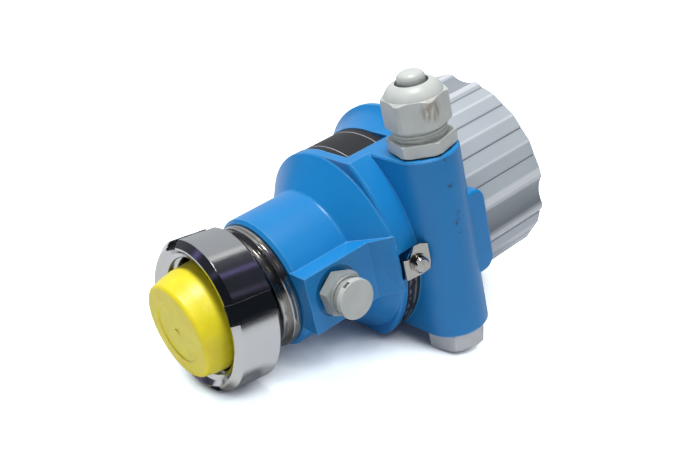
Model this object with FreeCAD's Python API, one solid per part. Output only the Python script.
import FreeCAD, Part
import math
import os

# A compact pressure transmitter for hygienic pipework: a cast housing with a cross tube for
# the cable, a screw cover, and a stainless sensor with a slotted union nut.
#
# Working frame: +Z is the main axis from the process end to the cover, with z = 0 at the end of
# the housing's neck; +X is the axis of the cross tube, towards the cable gland; +Y points to the
# vent plug and the cross tube. The last step lays the finished instrument down on the floor, in
# the way it comes to rest: +Z up, +X from the process end to the cover.

Vec = FreeCAD.Vector
ORIGIN = Vec(0, 0, 0)
X_DIR = Vec(1, 0, 0)
Y_DIR = Vec(0, 1, 0)
Z_DIR = Vec(0, 0, 1)

# ---- Driving dimensions, mm ----
NECK_R = 28.4            # the round neck of the housing
NECK_STRAIGHT = 27.4     # its straight length
NECK_BORE_R = 24.0       # the bore that takes the sensor's spigot
FLARE_R = 2.0            # concave radius from the neck into the flare
FLARE_ANGLE = 47.0       # degrees, the flare's slope
BODY_R = 40.6            # the drum behind the flare
RIM_Z = 41.0             # where the drum starts
FLANGE_R = 46.8          # the flange that the cover closes on
FLANGE_Z = 80.0          # the flange's face
FLANGE_RIM = 2.4         # width of the flange's rim
FLANGE_FLARE_R = 17.1    # concave radius from the drum into the flange
COLLAR_R = 38.0          # threaded collar inside the cover
COLLAR_Z = 90.0
CHAMBER_R = 34.0         # electronics chamber
CHAMBER_FLOOR = 50.0
LOWER_CHAMBER_R = 27.0
LOWER_FLOOR = 37.0
CABLE_HOLE_R = 8.4       # from the sensor to the electronics

BLOCK_HALF = 40.5        # half length of the block and of the cross tube
BLOCK_Z = 40.0           # the block's front face
BLOCK_EDGE_R = 1.5       # rounding of its front edge
BLOCK_ARC_R = 52.4       # crowned outer face of the block
BLOCK_ARC_Y = -12.0      # centre of that crown
TUBE_R = 14.25           # outer radius of the cross tube
TUBE_Y = 38.2            # its axis
TUBE_Z = 65.1
ENTRY_BORE_R = 9.95      # bore of the cable entries, M20 x 1.5
ENTRY_DEPTH = 14.0
PASSAGE_R = 8.5          # cable passage between the two entries

LUG_HALF = 18.6          # rounded lug between the cross tube and the cover
LUG_Y = 50.0
LUG_Z = 82.6
LUG_CORNER_R = 6.0
LUG_TOP_R = 1.5

PAD_HALF = 12.6          # flat pad that carries the vent plug
PAD_Y = 33.7
PAD_FLAT_END = 32.0
VENT_X = 0.8
VENT_Z = 13.3
VENT_BORE_R = 5.9        # M12 x 1.5
SPOTFACE_R = 10.3
SPOTFACE_DEPTH = 0.7

LABEL_R = 40.0           # floor of the recess for the type label
LABEL_FROM = 20.5        # degrees from +X towards +Y
LABEL_SWEEP = 134.0      # degrees, over the top and down the hidden side
LABEL_Z0 = 44.3
LABEL_Z1 = 66.4
LABEL_THICK = 0.25
RATING_X0 = -39.7        # rating label, in a shallow recess of the block
RATING_X1 = -8.8
RATING_Z0 = 43.6
RATING_Z1 = 50.5

COVER_Z0 = 80.8
COVER_Z1 = 123.2
COVER_CREST_R = 43.3
COVER_VALLEY_R = 42.7
COVER_GROOVE_R = 42.3    # bottom of the narrow groove in each valley
COVER_CORNER_R = 43.8
SCALLOP_DEPTH_R = 41.0
COVER_THREAD_R = 38.05
COVER_BORE_R = 39.0
COVER_END_WALL = 3.2
RIB_PITCH = 17.3         # degrees between the grip's valleys
GROOVE_HALF = 0.6        # degrees
SCALLOP_AT = 6.0         # degrees, the first finger scallop's centre
SCALLOP_HALF = 10.0      # degrees
SCALLOP_EDGE = 0.7       # degrees, half width of the bevel on its corners

NUT_TILT = 8.7           # degrees, the loose nut hangs askew on the liner
NUT_CENTRE = Vec(1.28, 0.0, -30.24)
NUT_R = 31.5             # slotted union nut for DN 25, 63 mm across and 21 mm high
NUT_LENGTH = 16.4        # between its two outer chamfers
NUT_FRONT = 2.57
NUT_BACK = 2.03
NUT_SLOTS = 4
NUT_SLOT_W = 8.0
NUT_SLOT_R = 28.0
NUT_SLOT_AT = 70.2       # degrees, the first slot
THREAD_MINOR_R = 24.1    # round thread Rd 52 x 1/6 inch
THREAD_MAJOR_R = 26.2
THREAD_PITCH = 4.233
NUT_HOLE_R = 19.2

SPIGOT_R = 23.95         # sensor spigot in the neck bore
RING_R = 26.6            # polished ring at the end of the neck
LINER_R = 16.5           # liner neck that the nut hangs on
COLLAR_LINER_R = 20.5    # liner collar inside the nut
LINER_FACE = -36.5

CAP_FACE = -41.2         # yellow protective cap
CAP_OPEN = -22.6

GLAND_AF = 24.0          # across flats of the M20 gland
GLAND_PHASE = -135.0     # degrees, a corner of its lower hexagon
GLAND_NUT_PHASE = -134.4
PLUG_AF = 22.0
PLUG_PHASE = -108.0
PLUG_HEAD = 8.0
PLUG_FACE_R = 11.6       # the blind plug stands on this turned face
GASKET = 0.7

VENT_PHASE = 8.0         # degrees, a corner of the vent plug's hexagon
VENT_WINDOW_AT = 20.0    # degrees, the first window of its lid

GROUND_X = -1.2          # external ground terminal
GROUND_Y = 40.2
GROUND_Z = 48.0
GROUND_TILT = 13.0       # degrees, its seat faces a little forward
NOTCH_FLOOR = 36.4       # notch in the block that the terminal sits in
NOTCH_X0 = -7.6
NOTCH_X1 = 4.4
NOTCH_Z0 = 40.8
GROUND_BOSS_R = 3.6      # boss under the clamp
CLAMP_SEAT = 3.2         # its height above the terminal's origin
CLAMP_THICK = 1.2
WASHER_THICK = 0.8


# ---- Shape helpers ----
def arc_middle(start, end, radius, side):
    """Middle point of the arc of a radius from start to end, bulging to one side (+1 or -1)."""
    dx, dy = end[0] - start[0], end[1] - start[1]
    chord = math.hypot(dx, dy)
    sagitta = radius - math.sqrt(radius ** 2 - (chord / 2) ** 2)
    mx, my = (start[0] + end[0]) / 2, (start[1] + end[1]) / 2
    return mx - side * dy / chord * sagitta, my + side * dx / chord * sagitta


def profile_face(points, to_3d):
    """A closed face from 2-D points; a point of four numbers is an arc through (a, b) to (c, d)."""
    edges = []
    here = points[0]
    for point in points[1:] + [points[0]]:
        end = point[-2:]
        if len(point) == 4:
            edges.append(Part.Arc(to_3d(here), to_3d(point[:2]), to_3d(end)).toShape())
        else:
            edges.append(Part.LineSegment(to_3d(here), to_3d(end)).toShape())
        here = end
    return Part.Face(Part.Wire(edges))


def turned(points):
    """A solid turned about Z from (z, r) points."""
    face = profile_face(points, lambda p: Vec(p[1], 0, p[0]))
    return face.revolve(ORIGIN, Z_DIR, 360)


def pushed(points, height, z=0.0):
    """A solid pushed up along Z from (x, y) points."""
    face = profile_face(points, lambda p: Vec(p[0], p[1], z))
    return face.extrude(Vec(0, 0, height))


def drum(radius, z0, z1, centre=(0, 0)):
    """A cylinder along Z."""
    return Part.makeCylinder(radius, z1 - z0, Vec(centre[0], centre[1], z0))


def block(x0, x1, y0, y1, z0, z1):
    """A box between two corners."""
    return Part.makeBox(x1 - x0, y1 - y0, z1 - z0, Vec(x0, y0, z0))


def ring(mean_r, section_r, z):
    """An O-ring about Z."""
    return Part.makeTorus(mean_r, section_r, Vec(0, 0, z), Z_DIR)


def hexagon(across_flats, z0, z1, phase):
    """A hexagonal prism along Z with one corner at the phase angle, in degrees from +X."""
    corner_r = across_flats / math.sqrt(3)
    angles = [math.radians(phase + 60 * k) for k in range(6)]
    corners = [(corner_r * math.cos(a), corner_r * math.sin(a)) for a in angles]
    return pushed(corners, z1 - z0, z0)


def on_tube(shape, x, outward=1):
    """Moves a shape built along Z onto the cross tube's axis, its z = 0 at x, pointing outward."""
    moved = shape.copy()
    moved.rotate(ORIGIN, Y_DIR, 90 * outward)
    moved.translate(Vec(x, TUBE_Y, TUBE_Z))
    return moved


def tube_phase(angle, outward=1):
    """The angle about Z, before on_tube, that ends at this angle from +Y towards +Z."""
    return 90 + angle * outward if outward > 0 else 90 - angle


def on_pad(shape, y):
    """Moves a shape built along Z onto the vent's axis, its z = 0 at y, pointing along +Y."""
    moved = shape.copy()
    moved.rotate(ORIGIN, X_DIR, -90)
    moved.translate(Vec(VENT_X, y, VENT_Z))
    return moved


def on_ground_seat(shape):
    """Moves a shape built along Z onto the tilted seat of the ground terminal."""
    moved = shape.copy()
    moved.rotate(ORIGIN, X_DIR, -90 - GROUND_TILT)
    moved.translate(Vec(GROUND_X, GROUND_Y, GROUND_Z))
    return moved


def on_nut_axis(shape):
    """Moves a shape built along Z onto the tilted axis of the union nut."""
    moved = shape.copy()
    moved.rotate(ORIGIN, Y_DIR, -NUT_TILT)
    moved.translate(NUT_CENTRE)
    return moved


# ---- Housing ----
def housing_drum():
    """Neck, flare, drum and flange, turned as one."""
    slope = math.tan(math.radians(FLARE_ANGLE))
    flare_start = (NECK_STRAIGHT + FLARE_R * math.sin(math.radians(FLARE_ANGLE)),
                   NECK_R + FLARE_R * (1 - math.cos(math.radians(FLARE_ANGLE))))
    flare_top_r = BODY_R - 0.9
    flare_end = (flare_start[0] + (flare_top_r - flare_start[1]) / slope, flare_top_r)
    flange_start = (FLANGE_Z - FLANGE_RIM - 13.0, BODY_R)
    flange_end = (FLANGE_Z - FLANGE_RIM, FLANGE_R - 0.4)
    neck_end = (NECK_STRAIGHT, NECK_R)
    return turned([
        (0, 0), (0, NECK_R - 1.3), (1.3, NECK_R), neck_end,
        arc_middle(neck_end, flare_start, FLARE_R, -1) + flare_start,
        flare_end,
        arc_middle(flare_end, (RIM_Z, BODY_R), 2.0, 1) + (RIM_Z, BODY_R),
        flange_start,
        arc_middle(flange_start, flange_end, FLANGE_FLARE_R, -1) + flange_end,
        (FLANGE_Z - FLANGE_RIM + 0.4, FLANGE_R), (FLANGE_Z - 0.4, FLANGE_R),
        (FLANGE_Z, FLANGE_R - 0.4), (FLANGE_Z, COLLAR_R),
        (COLLAR_Z - 1, COLLAR_R), (COLLAR_Z, COLLAR_R - 1), (COLLAR_Z, 0)])


def cross_tube():
    """Crowned block and D-shaped cross tube, flush at both ends, with bevelled tube ends."""
    crown_y = BLOCK_ARC_Y + math.sqrt(BLOCK_ARC_R ** 2 - BLOCK_HALF ** 2)
    crown = pushed([(-BLOCK_HALF, 0), (-BLOCK_HALF, crown_y),
                    (0, BLOCK_ARC_Y + BLOCK_ARC_R, BLOCK_HALF, crown_y), (BLOCK_HALF, 0)],
                   TUBE_Z - BLOCK_Z, BLOCK_Z)
    front = [e for e in crown.Edges if e.CenterOfMass.z < BLOCK_Z + 0.1 and e.CenterOfMass.y > crown_y]
    crown = crown.makeFillet(BLOCK_EDGE_R, front)
    section = profile_face(
        [(0, TUBE_Z - TUBE_R), (TUBE_Y, TUBE_Z - TUBE_R),
         (TUBE_Y + TUBE_R, TUBE_Z, TUBE_Y, TUBE_Z + TUBE_R), (0, TUBE_Z + TUBE_R)],
        lambda p: Vec(-BLOCK_HALF, p[0], p[1]))
    tube = section.extrude(Vec(2 * BLOCK_HALF, 0, 0))
    ends = [e for e in tube.Edges if e.CenterOfMass.y > TUBE_Y and abs(e.CenterOfMass.x) > BLOCK_HALF - 1]
    return crown.fuse(tube.makeChamfer(0.7, ends))


def cover_lug():
    """Rounded lug that runs from the cross tube to just past the cover's edge."""
    z0, r = TUBE_Z, LUG_CORNER_R
    near = (LUG_HALF - r, LUG_Z)
    far = (LUG_HALF, LUG_Z - r)
    outline = profile_face(
        [(-LUG_HALF, z0), (-far[0], far[1]),
         arc_middle((-far[0], far[1]), (-near[0], near[1]), r, 1) + (-near[0], near[1]),
         near, arc_middle(near, far, r, 1) + far, (LUG_HALF, z0)],
        lambda p: Vec(p[0], 25, p[1]))
    lug = outline.extrude(Vec(0, LUG_Y - 25, 0))
    top_edges = [e for e in lug.Edges if e.CenterOfMass.y > LUG_Y - 0.1 and e.CenterOfMass.z > z0 + 1]
    lug = lug.makeFillet(LUG_TOP_R, top_edges)
    return lug.cut(drum(COVER_CORNER_R + 0.8, FLANGE_Z, LUG_Z + 1))


def vent_pad():
    """Flat pad on the neck, with a slope up to the drum."""
    side = profile_face([(0, 0), (PAD_Y, 0), (PAD_Y, PAD_FLAT_END), (BODY_R - 0.4, RIM_Z), (0, RIM_Z)],
                        lambda p: Vec(-PAD_HALF, p[0], p[1]))
    return side.extrude(Vec(2 * PAD_HALF, 0, 0))


def label_sector(r0, r1, z0, z1, start, sweep):
    """A band of a ring, from the start angle back through the sweep, in degrees."""
    face = profile_face([(r0, z0), (r1, z0), (r1, z1), (r0, z1)], lambda p: Vec(p[0], 0, p[1]))
    face.rotate(ORIGIN, Z_DIR, start)
    return face.revolve(ORIGIN, Z_DIR, -sweep)


def rating_band(r0, r1, x0, x1, z0, z1):
    """A band that follows the crown of the block between two values of x."""
    centre = (0, BLOCK_ARC_Y)
    band = drum(r1, z0, z1, centre).cut(drum(r0, z0 - 1, z1 + 1, centre))
    return band.common(block(x0, x1, 0, 60, z0, z1))


def housing_hollows():
    """Everything that is bored, milled or cast out of the housing."""
    hollows = [
        turned([(-1, 0), (-1, NECK_BORE_R), (22, NECK_BORE_R), (22, CABLE_HOLE_R),
                (LOWER_FLOOR, CABLE_HOLE_R), (LOWER_FLOOR, LOWER_CHAMBER_R),
                (CHAMBER_FLOOR, LOWER_CHAMBER_R), (CHAMBER_FLOOR, CHAMBER_R),
                (COLLAR_Z + 1, CHAMBER_R), (COLLAR_Z + 1, 0)]),
        label_sector(LABEL_R, BODY_R + 6, LABEL_Z0 - 0.2, LABEL_Z1 + 0.2, LABEL_FROM + 0.5, LABEL_SWEEP + 1),
        rating_band(BLOCK_ARC_R - 0.5, BLOCK_ARC_R + 1, RATING_X0 - 0.2, RATING_X1 + 0.2,
                    RATING_Z0 - 0.2, RATING_Z1 + 0.2),
        block(NOTCH_X0, NOTCH_X1, NOTCH_FLOOR, 45, NOTCH_Z0, TUBE_Z - TUBE_R - 0.2).cut(
            on_ground_seat(drum(GROUND_BOSS_R, -6, CLAMP_SEAT))),
        on_pad(drum(SPOTFACE_R, 0, 3), PAD_Y - SPOTFACE_DEPTH),
        on_pad(drum(VENT_BORE_R, 0, 14), 22.0),
        on_ground_seat(drum(2.0, -5.8, CLAMP_SEAT + 1)),
        on_tube(drum(PASSAGE_R, -BLOCK_HALF, BLOCK_HALF), 0)]
    for end in (-1, 1):
        entry = turned([(-1, 0), (-1, ENTRY_BORE_R + 1.0), (0, ENTRY_BORE_R + 1.0), (1.0, ENTRY_BORE_R),
                        (ENTRY_DEPTH, ENTRY_BORE_R), (ENTRY_DEPTH + 1.4, PASSAGE_R - 0.05),
                        (ENTRY_DEPTH + 1.4, 0)])
        hollows.append(on_tube(entry, end * BLOCK_HALF, -end))
    set_screw_hole = drum(2.0, 20, 32)
    set_screw_hole.rotate(ORIGIN, X_DIR, 90)
    set_screw_hole.translate(Vec(0, 0, 15))
    hollows.append(set_screw_hole)
    for x in (-30.5, 30.5):
        hollows.append(drum(1.6, CHAMBER_FLOOR - 8, CHAMBER_FLOOR + 1, (x, 0)))
    return hollows


def housing():
    solid = housing_drum().fuse([cross_tube(), cover_lug(), vent_pad()])
    for hollow in housing_hollows():
        solid = solid.cut(hollow)
    return solid.removeSplitter()


# ---- Cover ----
def grip_outline():
    """The cover's grip: four finger scallops with ribbed fields between them."""
    def at(radius, degrees):
        angle = math.radians(degrees)
        return radius * math.cos(angle), radius * math.sin(angle)

    points = []
    for quarter in range(4):
        middle = SCALLOP_AT + 90 * quarter
        inner, outer = SCALLOP_HALF - SCALLOP_EDGE, SCALLOP_HALF + SCALLOP_EDGE
        points.append(at(COVER_CORNER_R, middle - outer))
        points.append(at(COVER_CORNER_R - 0.3, middle - inner))
        points.append(at(SCALLOP_DEPTH_R, middle) + at(COVER_CORNER_R - 0.3, middle + inner))
        points.append(at(COVER_CORNER_R, middle + outer))
        first_valley = middle + SCALLOP_HALF + 5.1
        for rib in range(4):
            valley = first_valley + rib * RIB_PITCH
            points.append(at(COVER_VALLEY_R, valley - GROOVE_HALF))
            points.append(at(COVER_GROOVE_R, valley))
            points.append(at(COVER_VALLEY_R, valley + GROOVE_HALF))
            points.append(at(COVER_CREST_R, valley + RIB_PITCH / 2))
    return points


def screw_cover():
    grip = pushed(grip_outline(), COVER_Z1 - COVER_Z0, COVER_Z0)
    envelope = turned([(COVER_Z0, 0), (COVER_Z0, 42.4), (COVER_Z0 + 1.2, 44.2), (COVER_Z1 - 0.8, 44.2),
                       (COVER_Z1, 43.2), (COVER_Z1, 0)])
    hollow = turned([
        (COVER_Z0 - 1, 0), (COVER_Z0 - 1, COVER_THREAD_R), (COLLAR_Z + 2, COVER_THREAD_R),
        (COLLAR_Z + 3, COVER_BORE_R), (COVER_Z1 - COVER_END_WALL - 3, COVER_BORE_R),
        (COVER_Z1 - COVER_END_WALL, COVER_BORE_R - 3), (COVER_Z1 - COVER_END_WALL, 0)])
    groove = drum(41.3, COVER_Z0 - 1, COVER_Z0 + 1.6).cut(drum(38.7, COVER_Z0 - 2, COVER_Z0 + 3))
    return grip.common(envelope).cut(hollow).cut(groove)


# ---- Sensor, union nut and protective cap ----
def sensor_body():
    """Stainless sensor: spigot, polished ring, liner neck and liner collar."""
    return turned([
        (20, 0), (20, SPIGOT_R - 0.6), (19.4, SPIGOT_R), (17.4, SPIGOT_R), (17.4, 22.9), (12.6, 22.9),
        (12.6, SPIGOT_R), (10.4, SPIGOT_R), (10.4, 21.5), (7.6, 21.5), (7.6, SPIGOT_R), (-0.3, SPIGOT_R),
        (-0.3, RING_R - 0.4), (-0.7, RING_R), (-2.0, RING_R), (-2.2, RING_R - 0.25), (-2.4, RING_R),
        (-3.6, RING_R), (-4.0, RING_R - 0.4), (-4.0, 24.4), (-5.2, 24.4), (-5.4, 24.1), (-5.6, 24.4),
        (-7.0, 24.4), (-7.3, 24.1), (-8.6, 19.5), (-8.6, LINER_R + 1.0), (-9.6, LINER_R),
        (-20.2, LINER_R), (-22.3, COLLAR_LINER_R), (-34.2, COLLAR_LINER_R), (LINER_FACE, 18.2),
        (LINER_FACE, 14.4), (LINER_FACE + 0.8, 14.0), (LINER_FACE + 0.8, 0)])


def sensor_diaphragm():
    """Thin corrugated process diaphragm, welded into the face of the liner."""
    front, back = LINER_FACE + 0.35, LINER_FACE + 0.8
    points = [(back, 0), (back, 13.95), (front, 13.95)]
    for radius in (12.4, 9.6, 6.8):
        points += [(front, radius + 0.9), (front + 0.25, radius, front, radius - 0.9)]
    return turned(points + [(front, 0)])


def slotted_nut():
    """Union nut with four spanner slots and the crests of its round thread."""
    front, back = -NUT_FRONT, NUT_LENGTH + NUT_BACK
    shoulder = back - 6.0
    bore = [(front, 28.2), (front + 1.9, THREAD_MAJOR_R)]
    z = front + 2.6
    while z + THREAD_PITCH < shoulder - 0.5:
        crest, root = (z + 0.9, THREAD_MINOR_R), (z + 0.9 + THREAD_PITCH / 2, THREAD_MAJOR_R)
        bore += [(crest[0] - 0.6, crest[1] + 0.25), crest, (crest[0] + 0.6, crest[1] + 0.25), root]
        z += THREAD_PITCH
    body = turned([(front, NUT_R - NUT_FRONT)] + bore + [
        (shoulder - 0.4, THREAD_MAJOR_R), (shoulder, THREAD_MAJOR_R - 0.4), (shoulder, NUT_HOLE_R + 0.6),
        (shoulder + 0.6, NUT_HOLE_R), (back, NUT_HOLE_R), (back, NUT_R - NUT_BACK), (NUT_LENGTH, NUT_R),
        (0, NUT_R)])
    for k in range(NUT_SLOTS):
        slot = block(NUT_SLOT_R, NUT_R + 1, -NUT_SLOT_W / 2, NUT_SLOT_W / 2, front - 1, back + 1)
        slot.rotate(ORIGIN, Z_DIR, NUT_SLOT_AT + 360 / NUT_SLOTS * k)
        body = body.cut(slot)
    return on_nut_axis(body)


def protective_cap():
    """Soft moulded cap, pushed over the liner collar."""
    inside = COLLAR_LINER_R + 0.05
    return turned([
        (CAP_FACE + 0.1, 0), (CAP_FACE + 0.1, 1.2), (CAP_FACE + 0.5, 1.5), (CAP_FACE + 0.5, 12.6),
        (CAP_FACE, 13.2), (CAP_FACE, 18.3),
        arc_middle((CAP_FACE, 18.3), (CAP_FACE + 1.9, 20.3), 2.0, 1) + (CAP_FACE + 1.9, 20.3),
        (-35.0, 21.35), (-31.0, 21.9), (CAP_OPEN + 0.4, 22.0), (CAP_OPEN, 21.7),
        (CAP_OPEN, inside), (-34.9, inside), (-37.6, 19.0), (-39.4, 18.2), (-39.4, 0)])


def neck_seal():
    return ring(22.65, 1.1, 9.0)


def sensor_board():
    """Amplifier board with its plug, on top of the sensor."""
    plug = block(-7, 7, -2.5, 2.5, 21.6, 26.5)
    return drum(20.0, 20.0, 21.6).fuse(plug)


# ---- Cable gland, stopper and blind plug ----
def chamfered(prism, points):
    """A prism trimmed by a turned envelope, which gives a hexagon its curved chamfers."""
    return prism.common(turned(points))


def gland_body():
    """Gland body: M20 stub, hexagon, and the slotted clamping claws inside the cap nut."""
    height = 5.1
    hexa = chamfered(hexagon(GLAND_AF, 0, height, tube_phase(GLAND_PHASE)),
                     [(0, 0), (0, 12.9), (0.8, 14.2), (height - 0.6, 14.2), (height, 13.4), (height, 0)])
    stub = turned([(-12, 0), (-12, 9.2), (-11.2, 9.9), (0, 9.9), (0, 0)])
    claws = turned([(height, 0), (height, 10.3), (height + 8.0, 10.3), (height + 8.6, 10.9),
                    (height + 13.0, 10.9), (height + 17.0, 9.4), (height + 17.0, 0)])
    body = hexa.fuse([stub, claws])
    body = body.cut(turned([(-13, 0), (-13, 6.6), (height + 4, 6.6), (height + 5, 8.3),
                            (height + 18, 8.3), (height + 18, 0)]))
    for k in range(8):
        gap = block(7.5, 12, -0.5, 0.5, height + 7, height + 18)
        gap.rotate(ORIGIN, Z_DIR, 22.5 + 45 * k)
        body = body.cut(gap)
    return on_tube(body, BLOCK_HALF + GASKET)


def gland_gasket():
    return on_tube(drum(12.2, 0, GASKET).cut(drum(10.0, -1, GASKET + 1)), BLOCK_HALF)


def gland_seal_insert():
    """Rubber sleeve that the cap nut squeezes onto the cable."""
    return on_tube(turned([(11.0, 5.65), (11.0, 8.2), (22.4, 8.2), (24.6, 6.6), (24.6, 5.65)]), BLOCK_HALF)


def gland_cap_nut():
    """Cap nut: hexagon with rounded corners, and a dome with the cable hole."""
    length, dome_end = 12.0, 16.8
    hexa = chamfered(hexagon(GLAND_AF, 0, length, tube_phase(GLAND_NUT_PHASE)),
                     [(0, 0), (0, 12.7), (0.5, 13.28), (length - 0.9, 13.28), (length, 12.2), (length, 0)])
    dome = turned([(length - 2, 0), (length - 2, 11.8), (length, 11.8),
                   arc_middle((length, 11.8), (dome_end, 7.4), 7.0, 1) + (dome_end, 7.4), (dome_end, 0)])
    nut = hexa.fuse(dome)
    nut = nut.cut(turned([(-1, 0), (-1, 11.0), (8.6, 11.0), (14.4, 8.9), (14.4, 6.7), (18, 6.7), (18, 0)]))
    return on_tube(nut, BLOCK_HALF + 11.0)


def gland_stopper():
    """Plug that closes the gland while no cable is fitted."""
    shoulder, top = 28.8, 32.1
    return on_tube(turned([
        (12.0, 0), (12.0, 4.7), (13.0, 5.6), (shoulder - 0.2, 5.6), (shoulder, 5.35),
        arc_middle((shoulder, 5.35), (top, 0.8), 6.0, 1) + (top, 0.8), (top, 0)]), BLOCK_HALF)


def blind_plug():
    """Hexagon plug in the second cable entry."""
    hexa = chamfered(hexagon(PLUG_AF, 0, PLUG_HEAD, tube_phase(PLUG_PHASE, -1)),
                     [(0, 0), (0, 12.0), (0.6, 12.8), (PLUG_HEAD - 1.0, 12.8), (PLUG_HEAD, PLUG_FACE_R),
                      (PLUG_HEAD, 0)])
    stub = turned([(-11, 0), (-11, 9.2), (-10.2, 9.9), (0, 9.9), (0, 0)])
    bore = drum(7.0, -12, 2)
    return on_tube(hexa.fuse(stub).cut(bore), -BLOCK_HALF - GASKET, -1)


def blind_plug_gasket():
    return on_tube(drum(11.9, 0, GASKET).cut(drum(10.0, -1, GASKET + 1)), -BLOCK_HALF, -1)


# ---- Vent plug ----
def vent_body():
    """Hexagon, turned shoulder and neck of the pressure-compensation plug."""
    hexa = chamfered(hexagon(16.6, 0.9, 6.1, VENT_PHASE),
                     [(0.9, 0), (0.9, 9.3), (1.2, 9.7), (5.0, 9.7), (6.1, 8.4), (6.1, 0)])
    stem = turned([(-6.5, 0), (-6.5, 5.2), (-5.9, 5.85), (0.9, 5.85), (0.9, 8.2), (6.1, 8.2), (7.2, 8.2),
                   (7.4, 8.0), (7.4, 7.3), (9.6, 6.7), (9.6, 0)])
    body = hexa.fuse(stem)
    return on_pad(body.cut(drum(3.0, -7, 10)), PAD_Y)


def vent_cap():
    """Lid of the vent plug, with four windows cut into its rim."""
    lid = turned([(9.6, 5.4), (9.6, 7.2), (10.0, 8.15), (12.1, 8.15), (12.5, 7.75), (12.5, 0),
                  (11.4, 0), (11.4, 6.9), (10.1, 6.9), (10.1, 5.4)])
    for k in range(4):
        window = block(6.4, 9.0, -1.5, 1.5, 10.4, 12.0)
        window.rotate(ORIGIN, Z_DIR, VENT_WINDOW_AT + 90 * k)
        lid = lid.cut(window)
    return on_pad(lid, PAD_Y)


def vent_membrane():
    return on_pad(drum(4.2, 9.6, 9.9), PAD_Y)


def vent_seal():
    seal = ring(7.4, 0.75, 0.1)
    return on_pad(seal, PAD_Y)


# ---- Ground terminal ----
def ground_clamp():
    """Clamping plate with an ear to one side, and a front leg that stands on the notch's floor."""
    top, foot, front, back = CLAMP_SEAT + CLAMP_THICK, -6.0, 6.4, -5.3
    bent = profile_face([(back, CLAMP_SEAT), (front - CLAMP_THICK, CLAMP_SEAT), (front - CLAMP_THICK, foot),
                         (front, foot), (front, top - 0.8), (front - 0.23, top - 0.23, front - 0.8, top),
                         (back, top)], lambda p: Vec(-9, p[0], p[1])).extrude(Vec(18, 0, 0))
    outline = pushed([(-5.6, front), (3.2, front), (3.2, 3.8), (5.3, 2.3), (8.1, 0.9), (8.2, -2.0),
                      (6.9, back), (-1.5, back), (-4.3, -4.4), (-5.3, -0.6)], top - foot, foot)
    clamp = on_ground_seat(bent.common(outline).cut(drum(2.2, 0, 6)))
    clamp = clamp.cut(block(-12, 12, NOTCH_FLOOR - 9, NOTCH_FLOOR, RIM_Z - 2, TUBE_Z))
    return clamp.cut(on_tube(drum(TUBE_R + 0.1, -12, 12), 0))


def ground_washer():
    z = CLAMP_SEAT + CLAMP_THICK
    return on_ground_seat(drum(4.0, z, z + WASHER_THICK).cut(drum(2.2, z - 1, z + 2)))


def ground_screw():
    """Slotted pan-head screw, M4."""
    z = CLAMP_SEAT + CLAMP_THICK + WASHER_THICK
    head = turned([(z, 0), (z, 3.4), (z + 1.4, 3.4), (z + 2.4, 2.7), (z + 2.7, 0)])
    shank = turned([(-5.0, 0), (-5.0, 1.6), (-4.6, 1.95), (z, 1.95), (z, 0)])
    slot = block(-4, 4, -0.5, 0.5, z + 1.5, z + 4)
    slot.rotate(ORIGIN, Z_DIR, 35)
    return on_ground_seat(head.fuse(shank).cut(slot))


# ---- Inside the chamber ----
def electronics_module():
    """Potted electronics module, with a flat for the cable and a shallow rimmed top."""
    body = turned([(LOWER_FLOOR + 0.5, CABLE_HOLE_R), (LOWER_FLOOR + 0.5, LOWER_CHAMBER_R - 0.4),
                   (CHAMBER_FLOOR, LOWER_CHAMBER_R - 0.4), (CHAMBER_FLOOR, CHAMBER_R - 0.4),
                   (70.0, CHAMBER_R - 0.4), (70.0, 31.4), (68.2, 31.4), (68.2, 0), (CHAMBER_FLOOR, 0),
                   (CHAMBER_FLOOR, CABLE_HOLE_R)])
    body = body.cut(block(-40, 40, 24, 40, CHAMBER_FLOOR + 4, 71))
    for x in (-30.5, 30.5):
        body = body.cut(drum(1.8, CHAMBER_FLOOR - 1, 71, (x, 0)))
    return body


def terminal_block():
    """Three-pole terminal block with open wire funnels."""
    body = block(-17, 17, 4, 17, 68.2, 77.0)
    for x in (-11, 0, 11):
        body = body.cut(drum(2.6, 73.0, 78, (x, 9)))
        body = body.cut(block(x - 2.2, x + 2.2, 13, 18, 69.6, 73.4))
    return body


def terminal_screws():
    return [drum(2.5, 73.0, 75.4, (x, 9)).cut(block(x - 3, x + 3, 8.6, 9.4, 74.6, 76)) for x in (-11, 0, 11)]


def module_screws():
    screws = []
    for x in (-30.5, 30.5):
        shank = drum(1.55, CHAMBER_FLOOR - 7, 68.2, (x, 0))
        head = drum(2.5, 70.0, 72.0, (x, 0))
        screws.append(shank.fuse([drum(1.55, 68.0, 70.1, (x, 0)), head]))
    return screws


def ribbon_cable():
    """Flat cable from the amplifier board up to the module, with a slack bend."""
    side = profile_face(
        [(-0.5, 26.7), (-0.5, 31.0), (3.2, 38.5, -0.5, 46.0), (-0.5, 49.8), (0.5, 49.8), (0.5, 46.0),
         (4.2, 38.5, 0.5, 31.0), (0.5, 26.7)], lambda p: Vec(-6, p[0], p[1]))
    return side.extrude(Vec(12, 0, 0))


def housing_set_screw():
    """Grub screw that locks the housing on the sensor's spigot."""
    screw = drum(1.95, 23.4, 27.6).cut(hexagon(2.0, 25.6, 28, 0))
    screw.rotate(ORIGIN, X_DIR, 90)
    screw.translate(Vec(0, 0, 15))
    return screw


def cover_seal():
    return ring(40.0, 0.95, FLANGE_Z + 1.25)


def type_label():
    return label_sector(LABEL_R, LABEL_R + LABEL_THICK, LABEL_Z0, LABEL_Z1, LABEL_FROM, LABEL_SWEEP)


def rating_label():
    return rating_band(BLOCK_ARC_R - 0.5, BLOCK_ARC_R - 0.25, RATING_X0, RATING_X1, RATING_Z0, RATING_Z1)


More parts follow.
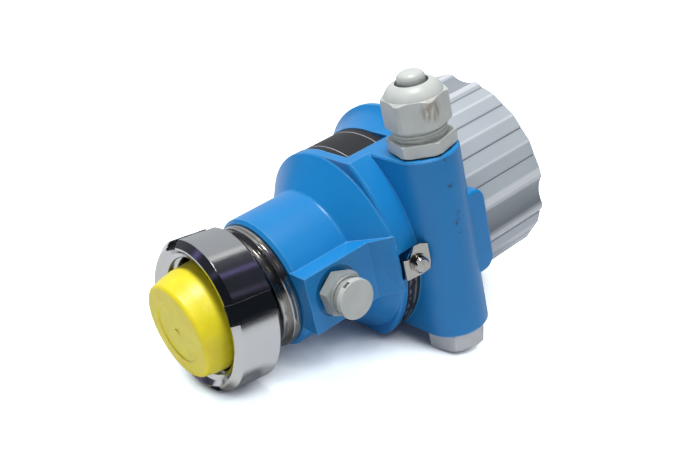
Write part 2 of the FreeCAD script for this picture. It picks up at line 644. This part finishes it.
NODES = {
    "housing": housing, "screw_cover": screw_cover, "cover_seal": cover_seal,
    "sensor_body": sensor_body, "sensor_diaphragm": sensor_diaphragm, "neck_seal": neck_seal,
    "sensor_board": sensor_board, "slotted_nut": slotted_nut, "protective_cap": protective_cap,
    "gland_body": gland_body, "gland_gasket": gland_gasket, "gland_seal_insert": gland_seal_insert,
    "gland_cap_nut": gland_cap_nut, "gland_stopper": gland_stopper, "blind_plug": blind_plug,
    "blind_plug_gasket": blind_plug_gasket, "vent_body": vent_body, "vent_cap": vent_cap,
    "vent_membrane": vent_membrane, "vent_seal": vent_seal, "ground_clamp": ground_clamp,
    "ground_washer": ground_washer, "ground_screw": ground_screw, "electronics_module": electronics_module,
    "terminal_block": terminal_block, "terminal_screws": terminal_screws, "module_screws": module_screws,
    "ribbon_cable": ribbon_cable, "housing_set_screw": housing_set_screw, "type_label": type_label,
    "rating_label": rating_label}


# ---- Lying down ----
def floor_normal():
    """The floor's normal: square to the nut's axis, touching the flange's rim and the plug's face."""
    tilt = math.radians(NUT_TILT)

    def normal(lean):
        """Square to the nut's axis at any lean towards +Y."""
        return Vec(math.cos(lean) * math.cos(tilt), math.sin(lean), math.cos(lean) * math.sin(tilt))

    def gap(lean):
        """How much higher the plug's face is than the flange's rim."""
        n = normal(lean)
        flange = n.z * (FLANGE_Z - FLANGE_RIM + 0.4) - FLANGE_R * math.hypot(n.x, n.y)
        face_x = -BLOCK_HALF - GASKET - PLUG_HEAD
        plug = n.dot(Vec(face_x, TUBE_Y, TUBE_Z)) - PLUG_FACE_R * math.hypot(n.y, n.z)
        return plug - flange

    low, high = 0.0, math.radians(40)
    for _ in range(60):
        middle = (low + high) / 2
        if gap(middle) < 0:
            low = middle
        else:
            high = middle
    return normal(low)


def lying_placement(shapes):
    """Turns the working frame into the resting one and centres the base on the origin."""
    up = floor_normal()
    ahead = Z_DIR - up * up.z
    ahead.normalize()
    left = up.cross(ahead)
    turn = FreeCAD.Placement(FreeCAD.Matrix(
        ahead.x, ahead.y, ahead.z, 0, left.x, left.y, left.z, 0, up.x, up.y, up.z, 0, 0, 0, 0, 1))
    box = FreeCAD.BoundBox()
    for shape in shapes:
        laid = shape.copy()
        laid.Placement = turn.multiply(laid.Placement)
        box.add(laid.optimalBoundingBox())
    centre = Vec((box.XMin + box.XMax) / 2, (box.YMin + box.YMax) / 2, box.ZMin)
    return FreeCAD.Placement(centre * -1, FreeCAD.Rotation()).multiply(turn), box


def main():
    os.makedirs("parts", exist_ok=True)
    shapes = {}
    for name, make in NODES.items():
        made = make()
        solids = made if isinstance(made, list) else [made]
        shapes[name] = Part.makeCompound(solids) if len(solids) > 1 else solids[0]
    placement, box = lying_placement(shapes.values())
    for name, shape in shapes.items():
        shape.Placement = placement.multiply(shape.Placement)
        shape.exportStep("parts/" + name + ".step")
        print(name, "solids", len(shape.Solids), "valid", shape.isValid(), "volume", round(shape.Volume))
    print("box", round(box.XLength, 2), round(box.YLength, 2), round(box.ZLength, 2))
    print("placement", list(placement.Matrix.A))


main()
